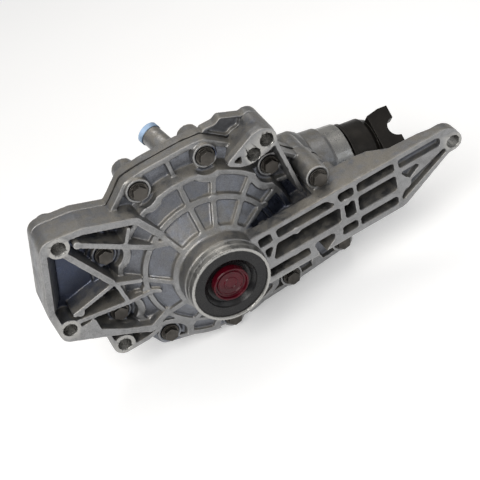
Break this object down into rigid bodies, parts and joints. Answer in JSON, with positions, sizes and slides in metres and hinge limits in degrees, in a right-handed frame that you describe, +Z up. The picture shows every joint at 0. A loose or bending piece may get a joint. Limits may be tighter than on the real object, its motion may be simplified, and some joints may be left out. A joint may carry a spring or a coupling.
{
  "type": "axle assembly",
  "caption": "Aluminium front axle differential carrier with a ribbed cover, seal boss, bolt brackets, long ladder arm and a pinion yoke for a propeller shaft.",
  "frame": {"origin": "centre of the machined front face of the seal boss, on the output axis", "axes": "+X along the ladder arm, +Y along the output axis into the carrier, +Z up"},
  "size_m": [0.4816, 0.222, 0.2484],
  "materials": {
    "cast_aluminium": "as cast, slightly glossy, bright on crests and dark in the pockets",
    "sealant": "cured black sealant",
    "bolt_steel": "dark phosphate, slightly oily",
    "seal_rubber": "matt black rubber",
    "red_plastic": "glossy dark red",
    "blue_plastic": "pale blue, soft plastic",
    "vent_tube": "as cast",
    "black_iron": "black-brown phosphate",
    "case_iron": "machined casting",
    "gear_steel": "hardened steel",
    "bearing_steel": "ground steel"
  },
  "bodies": {
    "housing": {"front_cover": "cast_aluminium", "rear_carrier": "cast_aluminium", "sealant_bead": "sealant", "cover_bolt_01": "bolt_steel", "cover_bolt_02": "bolt_steel", "cover_bolt_03": "bolt_steel", "cover_bolt_04": "bolt_steel", "cover_bolt_05": "bolt_steel", "cover_bolt_06": "bolt_steel", "cover_bolt_07": "bolt_steel", "cover_bolt_08": "bolt_steel", "cover_bolt_09": "bolt_steel", "cover_bolt_10": "bolt_steel", "dowel_pin_1": "bearing_steel", "dowel_pin_2": "bearing_steel", "front_output_seal": "seal_rubber", "rear_output_seal": "seal_rubber", "front_output_plug": "red_plastic", "rear_output_plug": "red_plastic", "vent_pipe": "vent_tube", "vent_cap": "blue_plastic", "fill_plug": "bolt_steel", "drain_plug": "bolt_steel", "front_bearing_cup": "bearing_steel", "rear_bearing_cup": "bearing_steel", "head_bearing_cup": "bearing_steel", "tail_bearing_cup": "bearing_steel", "pinion_seal": "seal_rubber"},
    "case": {"diff_case": "case_iron", "cross_pin": "gear_steel", "ring_gear": "gear_steel", "ring_gear_bolts": "bolt_steel", "front_bearing_cone": "bearing_steel", "front_bearing_rollers": "bearing_steel", "rear_bearing_cone": "bearing_steel", "rear_bearing_rollers": "bearing_steel", "side_washer_front": "bearing_steel", "side_washer_rear": "bearing_steel", "spider_washer_upper": "bearing_steel", "spider_washer_lower": "bearing_steel"},
    "pinion": {"drive_pinion": "gear_steel", "head_bearing_cone": "bearing_steel", "head_bearing_rollers": "bearing_steel", "tail_bearing_cone": "bearing_steel", "tail_bearing_rollers": "bearing_steel", "pinion_spacer": "bearing_steel", "dust_shield": "black_iron", "yoke": "black_iron", "pinion_washer": "bolt_steel", "pinion_nut": "bolt_steel"},
    "front_side_gear": {"side_gear_front": "gear_steel"},
    "rear_side_gear": {"side_gear_rear": "gear_steel"},
    "upper_spider": {"spider_gear_upper": "gear_steel"},
    "lower_spider": {"spider_gear_lower": "gear_steel"}
  },
  "joints": [
    {"name": "case_spin", "type": "hinge", "parent": "housing", "child": "case", "pos_m": [0, 0.138, 0], "axis": [0, 1, 0], "continuous": true},
    {"name": "pinion_spin", "type": "hinge", "parent": "housing", "child": "pinion", "pos_m": [0, 0.138, 0], "axis": [0.9848, 0, -0.1736], "continuous": true},
    {"name": "front_gear_spin", "type": "hinge", "parent": "case", "child": "front_side_gear", "pos_m": [0, 0.138, 0], "axis": [0, 1, 0], "continuous": true},
    {"name": "rear_gear_spin", "type": "hinge", "parent": "case", "child": "rear_side_gear", "pos_m": [0, 0.138, 0], "axis": [0, 1, 0], "continuous": true},
    {"name": "upper_spider_spin", "type": "hinge", "parent": "case", "child": "upper_spider", "pos_m": [0, 0.138, 0], "axis": [0, 0, 1], "continuous": true},
    {"name": "lower_spider_spin", "type": "hinge", "parent": "case", "child": "lower_spider", "pos_m": [0, 0.138, 0], "axis": [0, 0, 1], "continuous": true}
  ],
  "couplings": [
    {"joint": "pinion_spin", "follows": "case_spin", "ratio": 3.7273},
    {"joint": "rear_gear_spin", "follows": "front_gear_spin", "ratio": -1},
    {"joint": "upper_spider_spin", "follows": "front_gear_spin", "ratio": 1.6},
    {"joint": "lower_spider_spin", "follows": "front_gear_spin", "ratio": -1.6}
  ]
}
